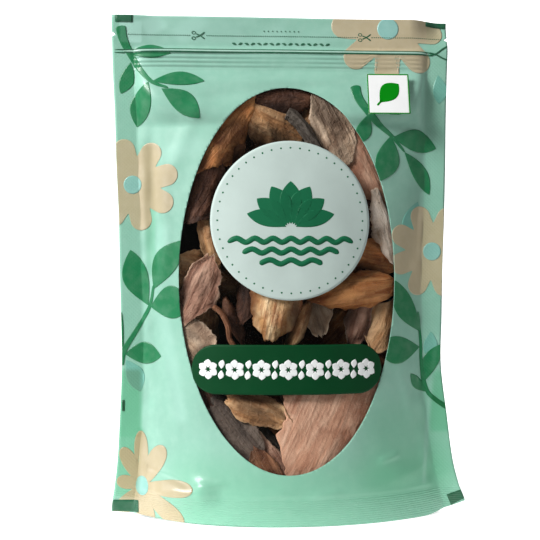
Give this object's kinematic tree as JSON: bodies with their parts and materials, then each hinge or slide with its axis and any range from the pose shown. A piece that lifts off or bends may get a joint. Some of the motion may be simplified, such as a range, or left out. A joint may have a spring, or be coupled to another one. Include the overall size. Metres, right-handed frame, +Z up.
{
  "type": "stand-up pouch of dried lotus petals",
  "caption": "Stand-up zip pouch of printed mint-green film with an oval window, labels and a folded bottom, filled with dried brown lotus petals.",
  "frame": {"origin": "under the middle of the pouch, on the plane that its bottom rim stands on", "axes": "+Z up along the pouch's height, -Y the front with the window, +X to the right seen from the front"},
  "size_m": [0.163, 0.0532, 0.23],
  "materials": {
    "printed_film": "gloss",
    "gusset_film": "gloss",
    "window_film": "clear gloss",
    "zip_plastic": "satin",
    "label_pale": "satin",
    "label_green": "satin",
    "label_white": "satin",
    "petal_orange": "matte, fibrous",
    "petal_tan": "matte, fibrous",
    "petal_gold": "matte, fibrous",
    "petal_cream": "matte, fibrous",
    "petal_taupe": "matte, fibrous",
    "petal_pink": "matte, fibrous",
    "petal_rose": "matte, fibrous",
    "petal_grey": "matte, fibrous",
    "petal_ash": "matte, fibrous",
    "petal_brown": "matte, fibrous",
    "petal_dark": "matte, fibrous",
    "stalk": "matte, ridged"
  },
  "bodies": {
    "root": {"back_panel": "printed_film", "bottom_gusset": "gusset_film", "front_panel": "printed_film", "name_label": "label_green", "petal_01": "petal_orange", "petal_02": "petal_pink", "petal_03": "petal_orange", "petal_04": "petal_gold", "petal_05": "petal_rose", "petal_06": "petal_taupe", "petal_07": "petal_pink", "petal_08": "petal_cream", "petal_09": "petal_tan", "petal_10": "petal_grey", "petal_11": "petal_tan", "petal_12": "petal_ash", "petal_13": "petal_rose", "petal_14": "petal_taupe", "petal_15": "petal_rose", "petal_16": "petal_tan", "petal_17": "petal_dark", "petal_18": "petal_brown", "petal_19": "petal_tan", "petal_20": "petal_brown", "petal_21": "petal_orange", "petal_22": "petal_tan", "petal_23": "petal_dark", "petal_24": "petal_brown", "petal_25": "petal_brown", "petal_26": "petal_dark", "petal_27": "petal_brown", "petal_28": "petal_dark", "petal_29": "petal_rose", "petal_30": "petal_tan", "petal_31": "petal_tan", "petal_32": "petal_pink", "petal_33": "petal_orange", "petal_34": "petal_orange", "petal_35": "petal_brown", "petal_36": "petal_orange", "petal_37": "petal_pink", "petal_38": "petal_taupe", "petal_39": "petal_rose", "petal_40": "petal_orange", "petal_41": "petal_taupe", "petal_42": "petal_rose", "petal_43": "petal_tan", "petal_44": "petal_orange", "petal_45": "petal_brown", "petal_46": "petal_brown", "petal_47": "petal_pink", "petal_48": "petal_tan", "petal_49": "petal_taupe", "round_label": "label_pale", "square_label": "label_white", "stalk_01": "stalk", "stalk_02": "stalk", "window_film": "window_film", "zip_groove_strip": "zip_plastic", "zip_rib_strip": "zip_plastic"}
  },
  "joints": []
}
